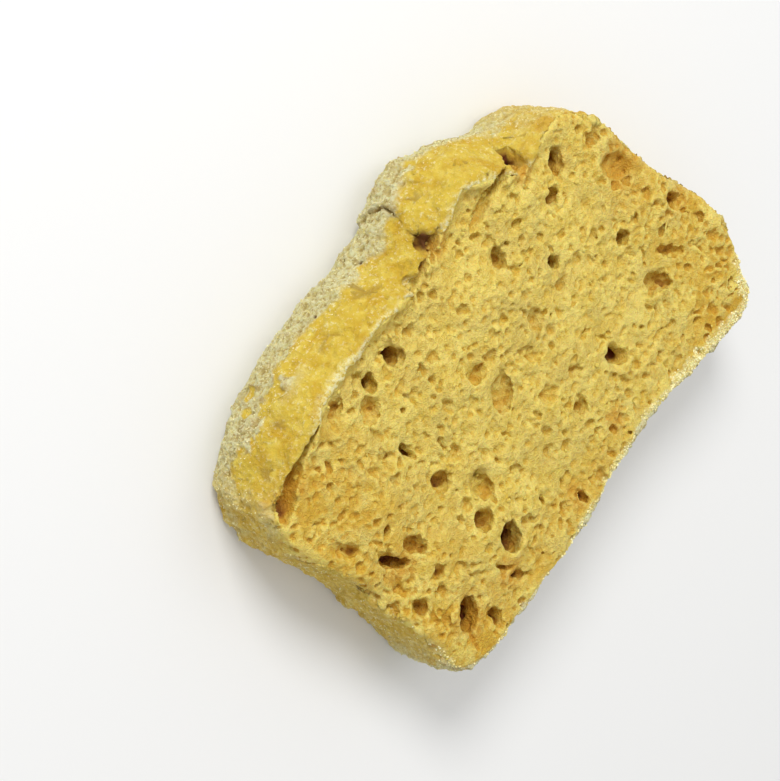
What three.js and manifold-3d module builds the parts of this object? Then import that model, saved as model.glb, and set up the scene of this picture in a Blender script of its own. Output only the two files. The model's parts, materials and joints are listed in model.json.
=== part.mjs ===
// A thick slice of rustic bread, toasted and buttered, lying on one of its two cut faces.
// +X runs to the rounded pale end, -Y to the domed top crust, +Y to the flat bottom crust,
// and +Z is up through the slice to the cut face that shows. All sizes are in millimetres.

import * as THREE from 'three';
import { mergeVertices } from 'three/addons/utils/BufferGeometryUtils.js';
import Module from 'manifold-3d';

// Driving sizes
const sliceThickness = 22; // underside to the crumb of the upper cut face
const lipRise = 1.1; // how far the curled lip of the top crust stands above the crumb
const stepsRound = 108; // points round the outline
const faceRings = 6; // rings across the crumb, from its edge to its middle
const undersideInset = 0.3; // where the underside's one inner ring lies, from its edge to its middle
const normalSpread = 4; // stations to each side over which the outline's normal is evened out
const domeNormal = { none: 0.3, full: 0.85 }; // how far the normal points to -Y where the dome starts
const domeStart = { none: -48, full: -26 }; // the dome thins out towards the far end, along X
const crumbSwell = 0.55; // height of the slow waves in the crumb

// The widest outline of the slice, seen from above, as a smooth closed curve.
// It starts at the corner of the far end and the bottom crust and goes clockwise in plan.
const outlineKnots = [
  // bottom crust, pressed in a little near its middle
  [-57.0, 42.6],
  [-36.0, 42.0],
  [-14.5, 39.0],
  [10.0, 42.0],
  [34.0, 42.4],
  [47.4, 42.2],
  // rounded pale end, with a shallow waist
  [53.0, 37.6],
  [54.2, 26.0],
  [55.8, 12.0],
  [57.6, 1.0],
  [61.0, -9.0],
  [61.4, -18.0],
  // domed top crust
  [56.0, -27.6],
  [42.5, -34.2],
  [25.0, -37.2],
  [7.0, -36.6],
  [-6.0, -40.0],
  [-14.5, -42.4],
  [-21.5, -38.8],
  [-31.6, -33.2],
  // far end
  [-43.0, -30.4],
  [-50.8, -21.0],
  [-54.4, -8.0],
  [-58.4, 3.5],
  [-63.2, 14.0],
  [-62.0, 30.0],
];

// The side in section, from the edge of the underside up to the edge of the crumb.
// Each point is how far it lies inside the widest outline, and its height.
const domeSection = [
  [4.2, 0],
  [2.3, 1.1],
  [0.8, 3.4],
  [0, 7.2],
  [0.4, 11.4],
  [1.7, 15.4],
  [3.6, 18.8],
  [5.0, sliceThickness - 0.5],
  [6.1, sliceThickness + lipRise],
  [7.3, sliceThickness + lipRise - 0.2],
  [8.2, sliceThickness - 0.4],
  [9.4, sliceThickness - 0.7],
];
const plainSection = [
  [1.9, 0],
  [0.7, 0.7],
  [0.2, 2.4],
  [0, 6.0],
  [0.1, 10.0],
  [0.3, 14.0],
  [0.8, 18.0],
  [1.3, 20.4],
  [1.9, 21.6],
  [2.9, sliceThickness],
  [4.2, sliceThickness - 0.1],
  [6.0, sliceThickness - 0.2],
];

// The largest bubbles, opened by the cut: [x, y, half length, half width, turn in degrees, depth].
// The turn is from +X towards +Y.
const openBubbles = [
  // beside the top crust
  [19.2, -22.7, 2.4, 1.9, 55, 5],
  [26.6, -23.4, 2.2, 1.5, 45, 4.5],
  [30.4, -20.0, 3.0, 2.6, 20, 1.5],
  [35.8, -26.3, 2.3, 1.9, 20, 1.6],
  [6.8, -30.2, 2.0, 1.6, 60, 3.5],
  [0.4, -34.6, 2.8, 1.7, 20, 4],
  [-28.0, -30.2, 3.1, 1.9, 60, 4.5],
  [-35.8, -22.2, 3.3, 1.5, 55, 4],
  [-30.1, -18.1, 2.4, 1.8, 20, 3],
  [-11.5, -18.6, 3.0, 1.5, 60, 2.5],
  // the middle of the crumb
  [-21.4, -7.5, 2.0, 1.6, 60, 3.5],
  [-9.5, -2.7, 3.0, 2.5, 40, 1.3],
  [6.7, 1.8, 4.4, 2.8, 50, 1.5],
  [8.3, -5.8, 2.5, 2.2, 0, 1.6],
  [30.3, -7.0, 2.5, 1.1, 88, 4],
  [28.5, 4.0, 2.6, 2.2, 0, 2.2],
  [22.3, 12.0, 3.4, 2.8, 60, 2.4],
  [27.5, 17.7, 2.6, 2.2, 50, 3],
  [-20.2, 19.6, 3.0, 2.0, 50, 4.5],
  [-6.0, 20.1, 2.0, 1.7, 0, 2],
  [-38.3, 2.6, 2.0, 1.6, 45, 3],
  [-39.4, 16.8, 4.2, 2.2, 135, 2.4],
  // along the bottom crust
  [25.3, 25.9, 3.8, 2.4, 60, 4.5],
  [43.3, 29.5, 4.4, 2.2, 48, 5],
  [38.9, 35.2, 2.5, 1.4, 130, 3],
  // beside the two ends
  [-47.1, -9.7, 5.4, 3.4, 125, 2.6],
  [-54.0, 6.8, 2.6, 1.9, 120, 2],
  [47.6, 6.6, 4.0, 1.5, 110, 3.4],
  [42.1, 7.9, 3.0, 2.1, 110, 1.8],
  [49.8, 18.6, 2.2, 1.7, 60, 2.4],
];

// The crevices where the curled crust has come away from the crumb, in the same order.
const crevices = [
  [51.0, -23.4, 9.2, 1.3, 24, 3.6],
  [-18.0, -29.9, 6.8, 1.1, 11, 3.2],
];

const bubbleDetail = 2; // subdivisions of the round cutters
const bubbleLift = 0.35; // part of a bubble's depth by which its middle is above the crumb

const wasm = await Module();
wasm.setup();

function smoothStep(low, high, value) {
  const share = THREE.MathUtils.clamp((value - low) / (high - low), 0, 1);
  return share * share * (3 - 2 * share);
}

function outlineStations() {
  const knots = outlineKnots.map(([x, y]) => new THREE.Vector3(x, y, 0));
  const curve = new THREE.CatmullRomCurve3(knots, true, 'centripetal');
  const stations = [];
  for (let i = 0; i < stepsRound; i += 1) {
    const share = i / stepsRound;
    const point = curve.getPointAt(share);
    const tangent = curve.getTangentAt(share);
    // The curve runs clockwise seen from above, so this normal points out of the slice.
    stations.push({ x: point.x, y: point.y, normal: new THREE.Vector2(-tangent.y, tangent.x) });
  }
  // The insets follow a normal evened out over the neighbours, so that no corner folds over.
  stations.forEach((station, index) => {
    station.outward = new THREE.Vector2();
    for (let offset = -normalSpread; offset <= normalSpread; offset += 1) {
      station.outward.add(stations[(index + offset + stepsRound) % stepsRound].normal);
    }
    station.outward.normalize();
    const facesCrust = smoothStep(domeNormal.none, domeNormal.full, -station.outward.y);
    station.dome = facesCrust * smoothStep(domeStart.none, domeStart.full, station.x);
  });
  return stations;
}

// Slow waves, the same on every build, that keep the crumb and the crust from looking pressed.
function crumbWave(x, y) {
  const broad = Math.sin(0.13 * x + 0.9) * Math.cos(0.15 * y - 0.4);
  const fine = Math.sin(0.41 * x - 0.27 * y + 1.3) * Math.cos(0.33 * y + 0.19 * x);
  return crumbSwell * (0.65 * broad + 0.35 * fine);
}

// The waves of the crust die out at the edge of the underside and at the crumb.
function crustWave(index, level, levels) {
  const turn = (2 * Math.PI * index) / stepsRound;
  const wave = 0.3 * Math.sin(17 * turn + 0.5 * level) + 0.2 * Math.sin(29 * turn - 0.3 * level + 1.1);
  return wave * Math.sin((Math.PI * level) / (levels - 1));
}

function sideRings(stations) {
  const levels = domeSection.length;
  const rings = [];
  for (let level = 0; level < levels; level += 1) {
    const ring = stations.map((station, index) => {
      const [domeInset, domeHeight] = domeSection[level];
      const [plainInset, plainHeight] = plainSection[level];
      const flatInset = THREE.MathUtils.lerp(plainInset, domeInset, station.dome);
      const inset = flatInset + crustWave(index, level, levels);
      const x = station.x - station.outward.x * inset;
      const y = station.y - station.outward.y * inset;
      const topShare = smoothStep(0.7, 1, level / (levels - 1));
      const z = THREE.MathUtils.lerp(plainHeight, domeHeight, station.dome) + topShare * crumbWave(x, y);
      return new THREE.Vector3(x, y, z);
    });
    rings.push(ring);
  }
  return rings;
}

function ringToward(ring, middle, share, heightAt) {
  return ring.map((point) => {
    const x = THREE.MathUtils.lerp(point.x, middle.x, share);
    const y = THREE.MathUtils.lerp(point.y, middle.y, share);
    return new THREE.Vector3(x, y, heightAt(x, y, share, point));
  });
}

function sliceBody() {
  const stations = outlineStations();
  const side = sideRings(stations);
  const middle = new THREE.Vector3(-1, 2, 0);
  const crumbEdge = side[side.length - 1];
  const undersideEdge = side[0];
  const rings = [ringToward(undersideEdge, middle, undersideInset, () => 0), ...side];
  for (let i = 1; i < faceRings; i += 1) {
    const crumbHeight = (x, y, share, point) => {
      const edgeHeight = point.z - crumbWave(point.x, point.y);
      const level = THREE.MathUtils.lerp(edgeHeight, sliceThickness, smoothStep(0, 0.3, share));
      return level + crumbWave(x, y);
    };
    rings.push(ringToward(crumbEdge, middle, i / faceRings, crumbHeight));
  }

  const positions = [];
  rings.forEach((ring) => ring.forEach((point) => positions.push(point.x, point.y, point.z)));
  const undersideMiddle = positions.length / 3;
  positions.push(middle.x, middle.y, 0);
  const faceMiddle = undersideMiddle + 1;
  positions.push(middle.x, middle.y, sliceThickness + crumbWave(middle.x, middle.y));

  // The outline runs clockwise seen from above, so these windings face outwards.
  const faces = [];
  for (let row = 0; row < rings.length - 1; row += 1) {
    for (let i = 0; i < stepsRound; i += 1) {
      const next = (i + 1) % stepsRound;
      const a = row * stepsRound + i;
      const b = row * stepsRound + next;
      const c = (row + 1) * stepsRound + next;
      const d = (row + 1) * stepsRound + i;
      faces.push(a, c, b);
      faces.push(a, d, c);
    }
  }
  const lastRow = (rings.length - 1) * stepsRound;
  for (let i = 0; i < stepsRound; i += 1) {
    const next = (i + 1) % stepsRound;
    faces.push(undersideMiddle, i, next);
    faces.push(faceMiddle, lastRow + next, lastRow + i);
  }
  const geometry = new THREE.BufferGeometry();
  geometry.setAttribute('position', new THREE.Float32BufferAttribute(positions, 3));
  geometry.setIndex(faces);
  return toSolid(geometry);
}

function toSolid(geometry) {
  geometry.deleteAttribute('normal');
  geometry.deleteAttribute('uv');
  const merged = mergeVertices(geometry, 1e-4);
  const vertProperties = new Float32Array(merged.getAttribute('position').array);
  const triVerts = new Uint32Array(merged.getIndex().array);
  return new wasm.Manifold(new wasm.Mesh({ numProp: 3, vertProperties, triVerts }));
}

function toGeometry(solid) {
  const mesh = solid.getMesh();
  const geometry = new THREE.BufferGeometry();
  geometry.setAttribute('position', new THREE.Float32BufferAttribute(mesh.vertProperties, 3));
  geometry.setIndex(Array.from(mesh.triVerts));
  return geometry;
}

// A round cutter whose middle is a little above the crumb, so that the cut's mouth is its widest part.
function bubbleCutter([x, y, halfLength, halfWidth, turn, depth]) {
  const cutter = new THREE.IcosahedronGeometry(1, bubbleDetail);
  cutter.scale(halfLength, halfWidth, depth * (1 + bubbleLift));
  cutter.rotateZ(THREE.MathUtils.degToRad(turn));
  cutter.translate(x, y, sliceThickness + crumbWave(x, y) + depth * bubbleLift);
  return toSolid(cutter);
}

function toastedSlice() {
  let solid = sliceBody();
  for (const opening of [...openBubbles, ...crevices]) {
    solid = solid.subtract(bubbleCutter(opening));
  }
  const geometry = toGeometry(solid);
  // The origin is under the middle of the slice's box.
  geometry.computeBoundingBox();
  const middle = geometry.boundingBox.getCenter(new THREE.Vector3());
  geometry.translate(-middle.x, -middle.y, 0);
  geometry.computeVertexNormals();
  return geometry;
}

const toastedCrumb = new THREE.MeshStandardMaterial({
  color: 0xdcc065,
  roughness: 0.72,
  metalness: 0,
});

const slice = new THREE.Mesh(toastedSlice(), toastedCrumb);
slice.name = 'toast';

const group = new THREE.Group();
group.add(slice);

export default group;
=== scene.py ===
import json
import math
import random

import bpy
import numpy as np
from mathutils import Matrix, Vector, kdtree, noise
from mathutils.bvhtree import BVHTree

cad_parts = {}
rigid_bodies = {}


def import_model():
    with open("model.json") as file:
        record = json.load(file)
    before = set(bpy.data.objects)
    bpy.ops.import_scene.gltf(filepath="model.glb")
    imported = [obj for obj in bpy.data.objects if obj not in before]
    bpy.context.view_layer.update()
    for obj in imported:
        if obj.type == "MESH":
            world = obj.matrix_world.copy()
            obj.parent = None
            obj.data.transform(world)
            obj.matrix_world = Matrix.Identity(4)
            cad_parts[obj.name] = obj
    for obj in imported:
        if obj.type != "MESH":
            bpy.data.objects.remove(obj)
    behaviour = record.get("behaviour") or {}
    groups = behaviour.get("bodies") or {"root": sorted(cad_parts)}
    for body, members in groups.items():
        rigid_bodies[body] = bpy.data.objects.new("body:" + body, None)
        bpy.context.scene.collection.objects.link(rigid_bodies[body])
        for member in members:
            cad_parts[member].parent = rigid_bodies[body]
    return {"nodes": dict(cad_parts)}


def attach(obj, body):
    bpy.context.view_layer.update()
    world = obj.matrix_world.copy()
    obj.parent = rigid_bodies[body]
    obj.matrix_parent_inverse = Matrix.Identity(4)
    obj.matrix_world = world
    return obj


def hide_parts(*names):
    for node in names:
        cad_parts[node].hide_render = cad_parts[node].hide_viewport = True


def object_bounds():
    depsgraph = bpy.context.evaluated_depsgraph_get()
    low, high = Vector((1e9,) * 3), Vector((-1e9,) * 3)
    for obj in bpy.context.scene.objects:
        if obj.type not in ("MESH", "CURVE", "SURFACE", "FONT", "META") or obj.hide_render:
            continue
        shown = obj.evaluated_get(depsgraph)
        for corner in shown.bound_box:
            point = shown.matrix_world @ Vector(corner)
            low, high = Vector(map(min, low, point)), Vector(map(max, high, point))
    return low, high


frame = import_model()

frameLow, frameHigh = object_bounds()
mm = 0.001
random.seed(7)
sliceTop = 22.0 * mm  # height of the crumb on the cut face that shows


def pickOnly(*things):
    bpy.ops.object.select_all(action="DESELECT")
    for thing in things:
        thing.select_set(True)
    bpy.context.view_layer.objects.active = things[0]


def startEdit(thing):
    # edit mode with everything selected
    pickOnly(thing)
    bpy.ops.object.mode_set(mode="EDIT")
    bpy.ops.mesh.select_all(action="SELECT")


def endEdit():
    bpy.ops.object.mode_set(mode="OBJECT")


def addModifier(thing, kind, **settings):
    # a modifier that is applied at once
    pickOnly(thing)
    modifier = thing.modifiers.new(kind.title(), kind)
    for name, value in settings.items():
        setattr(modifier, name, value)
    bpy.ops.object.modifier_apply(modifier=modifier.name)


def remesh(thing, voxel):
    addModifier(thing, "REMESH", mode="VOXEL", voxel_size=voxel)


def triangleCount(thing):
    return sum(len(face.vertices) - 2 for face in thing.data.polygons)


def thinTo(thing, triangles):
    count = triangleCount(thing)
    if count > triangles:
        addModifier(thing, "DECIMATE", ratio=triangles / count)


def addObject(name, data):
    thing = bpy.data.objects.new(name, data)
    bpy.context.scene.collection.objects.link(thing)
    return thing


def copyOf(thing, name):
    copy = addObject(name, thing.data.copy())
    copy.data.materials.clear()
    return copy


def discard(*things):
    for thing in things:
        bpy.data.objects.remove(thing)


def ramp(values, low, high):
    # 0 at low, 1 at high, smooth between, for one value or many
    share = np.clip((values - low) / (high - low), 0, 1)
    return share * share * (3 - 2 * share)


def readVectors(items, key):
    flat = np.empty(len(items) * 3)
    items.foreach_get(key, flat)
    return flat.reshape(-1, 3)


def readPoints(mesh):
    return readVectors(mesh.vertices, "co")


def readNormals(mesh):
    return readVectors(mesh.vertices, "normal")


def faceHeights(mesh):
    return readVectors(mesh.polygons, "center")[:, 2]


def writePoints(mesh, points):
    mesh.vertices.foreach_set("co", np.ascontiguousarray(points).ravel())
    mesh.update()


def cloudTexture(name, size, depth):
    texture = bpy.data.textures.new(name, "CLOUDS")
    texture.noise_scale = size
    texture.noise_depth = depth
    texture.noise_basis = "IMPROVED_PERLIN"
    return texture


def roughen(thing, size, strength, depth=2, group=""):
    # pushes the surface in and out by a cloud pattern of this size, at most by half the strength
    texture = cloudTexture(f"{thing.name}Rough{size * 1000:.1f}", size, depth)
    settings = {"texture": texture, "texture_coords": "LOCAL", "strength": strength, "mid_level": 0.5}
    if group:
        settings["vertex_group"] = group
    addModifier(thing, "DISPLACE", **settings)


outlineSizes = {
    "height": 12.0 * mm,       # where the section through the frame is taken
    "spread": 10,              # stations to each side over which its normal is evened out
    "domeNormal": (0.3, 0.85),  # how far the normal points to -Y where the domed crust starts
    "domeStart": (-48.0 * mm, -26.0 * mm),  # where it thins out towards the far end
    "lipInset": 6.5 * mm,      # inner edge of the crust on the dome, inside the section
    "rimInset": 1.5 * mm,      # the same all round the rest
    "waver": 0.5 * mm,         # how far that edge wanders
    "waverPace": 180,          # waves to the metre, roughly
    "coreFoot": -4 * mm,       # the core reaches from below the slice to above it
    "coreTop": 28 * mm,
}


def mergedFrame(name):
    # a copy of the frame's slice with its corners merged
    piece = copyOf(frame["nodes"]["toast"], name)
    startEdit(piece)
    bpy.ops.mesh.remove_doubles(threshold=0.01 * mm)
    endEdit()
    return piece


def sectionStations():
    # the outline at one height as evenly ordered points with outward normals and dome weights
    s = outlineSizes
    piece = mergedFrame("section")
    startEdit(piece)
    bpy.ops.mesh.bisect(
        plane_co=(0, 0, s["height"]), plane_no=(0, 0, 1), clear_inner=True, clear_outer=True
    )
    endEdit()
    neighbours = {}
    for edge in piece.data.edges:
        a, b = edge.vertices
        neighbours.setdefault(a, []).append(b)
        neighbours.setdefault(b, []).append(a)
    start = max(neighbours, key=lambda i: piece.data.vertices[i].co.x)
    loop = [start]
    before, here = None, start
    while True:
        after = [n for n in neighbours[here] if n != before][0]
        if after == start:
            break
        loop.append(after)
        before, here = here, after
    points = [piece.data.vertices[i].co.copy() for i in loop]
    discard(piece)
    area = sum(a.x * b.y - b.x * a.y for a, b in zip(points, points[1:] + points[:1]))
    if area < 0:
        points.reverse()
    count = len(points)
    raw = []
    for i in range(count):
        along = points[(i + 1) % count] - points[i - 1]
        raw.append(Vector((along.y, -along.x, 0)).normalized())
    stations = []
    for i, point in enumerate(points):
        outward = Vector()
        for offset in range(-s["spread"], s["spread"] + 1):
            outward += raw[(i + offset) % count]
        outward.normalize()
        dome = ramp(-outward.y, *s["domeNormal"]) * ramp(point.x, *s["domeStart"])
        stations.append((point, outward, dome))
    return stations


def coreBlock(stations, name, slack):
    # a straight-sided block that fills the inside of the crust, from below the slice to above it
    s = outlineSizes
    points = []
    for point, outward, dome in stations:
        inset = s["rimInset"] + (s["lipInset"] - s["rimInset"]) * dome - slack
        inset += s["waver"] * noise.noise(point * s["waverPace"]) * (0.5 + dome)
        points.append((point.x - outward.x * inset, point.y - outward.y * inset, s["coreFoot"]))
    mesh = bpy.data.meshes.new(name)
    mesh.from_pydata(points, [], [list(range(len(points)))])
    block = addObject(name, mesh)
    startEdit(block)
    rise = {"value": (0, 0, s["coreTop"] - s["coreFoot"])}
    bpy.ops.mesh.extrude_region_move(TRANSFORM_OT_translate=rise)
    bpy.ops.mesh.select_all(action="SELECT")
    bpy.ops.mesh.normals_make_consistent(inside=False)
    endEdit()
    addModifier(block, "TRIANGULATE")
    return block


cameraSizes = {
    "aim": (21.4 * mm, -13.0 * mm, 11.0 * mm),
    "azimuth": 32.5,
    "elevation": 53.0,
    "roll": 101.8,   # the slice lies flat, and the camera is turned so that it seems to lean
    "distance": 371.1 * mm,
    "lens": 85.0,
}


def backDirection(azimuth, elevation):
    a, e = math.radians(azimuth), math.radians(elevation)
    return Vector((math.sin(a) * math.cos(e), -math.cos(a) * math.cos(e), math.sin(e)))


def makeCamera():
    s = cameraSizes
    back = backDirection(s["azimuth"], s["elevation"])
    data = bpy.data.cameras.new("camera")
    data.lens = s["lens"]
    data.clip_start, data.clip_end = 0.01, 10
    camera = addObject("camera", data)
    roll = Matrix.Rotation(math.radians(s["roll"]), 3, "Z")
    turn = (-back).to_track_quat("-Z", "Y").to_matrix() @ roll
    place = Vector(s["aim"]) + back * s["distance"]
    camera.matrix_world = Matrix.LocRotScale(place, turn.to_quaternion(), None)
    bpy.context.scene.camera = camera
    return camera


# towards: to the right, up and towards the camera, as it sees the slice
lightSizes = {
    "key": {"towards": (0.05, 0.55, 0.83), "distance": 0.9, "size": 0.35, "power": 5.0},
    "fill": {"towards": (0.75, 0.25, 0.6), "distance": 1.1, "size": 0.8, "power": 1.5},
    "sky": 0.62,
}


def makeLights(camera):
    turn = camera.matrix_world.to_3x3()
    middle = Vector((0, 0, 11 * mm))
    for name in ("key", "fill"):
        s = lightSizes[name]
        data = bpy.data.lights.new(name, "AREA")
        data.shape = "DISK"
        data.size = s["size"]
        data.energy = s["power"]
        lamp = addObject(name, data)
        towards = (turn @ Vector(s["towards"])).normalized()
        lamp.matrix_world = Matrix.LocRotScale(
            middle + towards * s["distance"], (-towards).to_track_quat("-Z", "Y"), None
        )
    world = bpy.data.worlds.new("studio")
    bpy.context.scene.world = world
    world.use_nodes = True
    world.node_tree.nodes["Background"].inputs["Color"].default_value = (1, 1, 1, 1)
    world.node_tree.nodes["Background"].inputs["Strength"].default_value = lightSizes["sky"]


def makeFloor():
    bpy.ops.mesh.primitive_plane_add(size=6, location=(0, 0, -0.05 * mm))
    floor = bpy.context.object
    floor.name = "floor"
    bpy.ops.object.transform_apply(location=True)
    material = bpy.data.materials.new("paleFloor")
    material.use_nodes = True
    shader = material.node_tree.nodes["Principled BSDF"]
    shader.inputs["Base Color"].default_value = (0.86, 0.86, 0.85, 1)
    shader.inputs["Roughness"].default_value = 0.9
    floor.data.materials.append(material)


camera = makeCamera()
makeLights(camera)
makeFloor()
bpy.context.scene.view_settings.view_transform = "Standard"
print("camera, lights and floor made")


def latticeNoise(places, seed):
    # one octave of soft noise from -1 to 1, at many places at once
    # each cell's corners get values from a hash of the cell, the same on every run
    cell = np.floor(places).astype(np.int64)
    share = places - cell
    share = share * share * (3 - 2 * share)
    total = np.zeros(len(places))
    for corner in np.ndindex(2, 2, 2):
        at = cell + np.array(corner)
        mixed = (at[:, 0] * 73856093) ^ (at[:, 1] * 19349663) ^ (at[:, 2] * 83492791) ^ (seed * 374761393)
        mixed = ((mixed & 0x7FFFFFFF) ^ (mixed >> 13 & 0x3FFFF)) * 668265263
        value = ((mixed >> 15) & 65535) / 32767.5 - 1
        total += value * np.prod(np.where(corner, share, 1 - share), axis=1)
    return total


tiltedAxes = np.array(Matrix.Rotation(0.9, 3, Vector((0.5, 0.7, 0.4)).normalized()))


def clouds(points, size, octaves=3, seed=1):
    # soft noise from -1 to 1 with lumps of about this size
    places = points / size
    total, weight, reach = 0, 1.0, 0
    for octave in range(octaves):
        places = places @ tiltedAxes.T
        total = total + weight * latticeNoise(places + octave * 7.3, seed + octave)
        reach += weight
        weight *= 0.5
        places = places * 2.03
    return np.clip(total / reach * 1.5, -1, 1)


crumbSizes = {
    "slabVoxel": 0.45 * mm,    # the plain slab, then with its lumps, then with its bubbles
    "lumpyVoxel": 0.4 * mm,
    "voxel": 0.29 * mm,
    "topCut": 14.0 * mm,       # the shown crumb is a slab above this height, the rest lies below it
    "triangles": 196000,
    "hiddenShare": 0.02,       # of the triangles that are kept where nothing shows
    "bubbleVoxel": 0.26 * mm,
    "tornRelief": (3.4 * mm, 1.2 * mm),   # the size of each pattern and how far it pushes
    "tornDishes": (2.8 * mm, 0.8 * mm),
    "fineDishes": (1.2 * mm, 0.5 * mm),
    "fineRelief": (0.8 * mm, 0.2 * mm),
    "bubbleWobble": (1.9 * mm, 2.6 * mm),
    "bubbleRelief": (1.5 * mm, 0.4 * mm),
    "creviceRelief": (1.8 * mm, 0.8 * mm),
    "mouthGap": 0.86,          # below 1 so that mouths may just run together
    "bigMouth": 0.6 * mm,      # from here on a bubble has little ones in its wall
    "hugeMouth": 1.1 * mm,
    "swell": 1.1 * mm,
    "lumps": (170, 0.5 * mm, 1.5 * mm),  # how many, and their radius range
    "rips": 190,               # and their half length, half width, depth and turn, in millimetres
    "ripLength": (1.0, 2.8),
    "ripWidth": (0.28, 0.5),
    "ripDepth": (0.7, 2.0),
    "ripTurn": (130, 40),      # most lie near the first, in degrees, and spread by the second
    # the radius of each mouth in the face, and how often one is tried
    "foam": (
        (1.15 * mm, 1.9 * mm, 300),
        (0.62 * mm, 1.15 * mm, 3600),
        (0.36 * mm, 0.62 * mm, 16000),
        (0.26 * mm, 0.36 * mm, 12000),
    ),
}

# x, y, half length, half width, turn in degrees from +X to +Y, depth, in millimetres
openBubbles = [
    # dark and deep
    (19.7, -22.7, 2.3, 1.9, 50, 5.5),
    (27.2, -23.4, 2.0, 1.4, 45, 5.0),
    (24.2, -21.7, 0.8, 0.6, 0, 3.0),
    (30.8, -7.0, 2.5, 1.1, 92, 4.5),
    (43.8, 29.5, 4.3, 2.2, 47, 6.5),
    (25.8, 25.9, 3.9, 2.5, 60, 5.0),
    (-19.7, 19.6, 3.0, 1.9, 125, 4.5),
    (-27.6, -30.2, 3.0, 2.0, 50, 5.5),
    (-35.4, -22.2, 3.2, 1.4, 55, 5.0),
    (-29.6, -18.1, 2.4, 1.8, 15, 3.4),
    (-20.9, -7.5, 1.8, 1.4, 50, 3.4),
    (6.9, 35.4, 1.7, 1.3, 60, 3.4),
    (31.0, 29.6, 2.0, 1.0, 140, 3.2),
    (29.4, 34.3, 2.9, 1.1, 140, 3.0),
    (39.4, 35.8, 2.3, 1.4, 70, 3.4),
    (15.0, 26.8, 1.5, 0.7, 65, 3.0),
    (22.1, 9.6, 1.5, 0.8, 55, 3.4),
    (-37.9, 2.4, 1.7, 1.5, 45, 3.2),
    (-36.1, 17.3, 1.6, 1.1, 140, 2.8),
    (-45.8, 14.3, 4.6, 1.3, 132, 2.6),
    (-53.9, 32.3, 1.5, 1.1, 50, 2.6),
    (-41.5, 31.8, 0.9, 0.8, 0, 2.4),
    (45.5, -0.1, 1.2, 1.0, 0, 2.8),
    # open bowls
    (28.0, 17.7, 2.5, 2.1, 50, 3.2),
    (23.1, 13.0, 3.0, 2.3, 50, 1.6),
    (29.1, 4.0, 2.5, 2.2, 30, 2.6),
    (7.2, 1.8, 4.4, 3.0, 48, 1.6),
    (8.8, -5.8, 2.4, 2.0, 0, 1.6),
    (4.6, -6.2, 2.1, 1.7, 0, 1.5),
    (-5.5, 20.1, 1.9, 1.5, 0, 2.2),
    (-0.9, 10.8, 2.5, 2.0, 0, 1.6),
    (-9.0, -2.7, 2.6, 2.1, 45, 1.7),
    (-2.8, 0.6, 3.9, 2.0, 130, 1.4),
    (-38.9, 16.8, 4.2, 2.2, 135, 2.2),
    (14.3, -24.3, 1.8, 1.5, 0, 1.8),
    (36.3, -26.3, 2.1, 1.7, 20, 2.2),
    (31.1, -19.9, 2.8, 2.3, 30, 1.8),
    (28.7, -26.2, 1.8, 1.8, 0, 2.0),
    (3.0, -18.3, 1.5, 1.2, 0, 1.8),
    (-11.2, -19.1, 2.8, 1.4, 60, 2.6),
    (-9.3, 12.9, 2.2, 1.2, 130, 2.0),
    # orange pulled ones beside the two ends
    (-53.5, 6.8, 2.5, 1.8, 130, 2.4),
    (48.1, 6.6, 4.0, 1.3, 128, 3.4),
    (42.6, 7.9, 3.2, 2.0, 120, 2.2),
    (43.1, 16.3, 2.0, 1.7, 0, 2.2),
    (44.9, 19.7, 1.7, 1.5, 0, 2.4),
    (50.1, 18.6, 2.1, 1.6, 60, 2.8),
    (53.7, -4.2, 3.5, 1.5, 128, 2.2),
]

# where the face is browned most: x, y, radius, in millimetres
amberSpots = [
    (-47.6, -9.0, 6.5), (-54.0, 7.0, 3.5), (-27.0, -29.5, 3.5), (-35.4, -22.0, 3.0),
    (52.0, -22.5, 4.5), (44.0, 30.0, 5.0), (31.0, 31.0, 4.5), (48.0, 8.0, 5.0),
    (8.0, 34.0, 4.0), (-10.0, 30.0, 3.5), (-1.5, -32.0, 3.0),
]

# crevices where the curled crust has come away: from, to, half width, depth, in millimetres
crevices = [
    ((42.0, -27.9), (50.0, -24.8), 0.9, 4.2),
    ((48.5, -25.4), (55.0, -21.8), 1.3, 5.0),
    ((53.5, -22.6), (59.4, -19.0), 1.8, 5.2),
    ((-24.0, -31.4), (-17.0, -30.0), 0.8, 3.6),
    ((-17.5, -30.4), (-9.5, -27.6), 1.3, 3.4),
    ((-4.0, -35.0), (1.6, -30.2), 1.1, 3.6),
    ((-2.2, -36.0), (1.6, -33.2), 1.4, 6.0),
    ((2.0, -32.0), (8.4, -29.6), 1.2, 3.6),
    ((8.0, -30.6), (10.6, -26.6), 0.8, 3.0),
]


def unitBall(subdivisions):
    bpy.ops.mesh.primitive_ico_sphere_add(subdivisions=subdivisions, radius=1)
    ball = bpy.context.object
    points = readPoints(ball.data).copy()
    faces = np.array([tuple(face.vertices) for face in ball.data.polygons])
    discard(ball)
    return points, faces


ball = unitBall(2)


def joinedBalls(name, model, places):
    # one object of many stretched copies of the model, each with its middle, radii and turn
    ballPoints, ballFaces = model
    points = [
        (ballPoints * np.array(radii)) @ np.array(turn.to_matrix()).T + np.array(middle)
        for middle, radii, turn in places
    ]
    faces = [ballFaces + i * len(ballPoints) for i in range(len(places))]
    mesh = bpy.data.meshes.new(name)
    mesh.from_pydata(np.concatenate(points).tolist(), [], np.concatenate(faces).tolist())
    return addObject(name, mesh)


def flatTurn(degrees):
    return Matrix.Rotation(math.radians(degrees), 3, "Z").to_quaternion()


def randomTurn():
    axis = Vector((random.gauss(0, 1), random.gauss(0, 1), random.gauss(0, 1))).normalized()
    return Matrix.Rotation(random.uniform(0, math.tau), 3, axis).to_quaternion()


def searchTree(thing):
    faces = [tuple(face.vertices) for face in thing.data.polygons]
    return BVHTree.FromPolygons(readPoints(thing.data).tolist(), faces)


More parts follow.
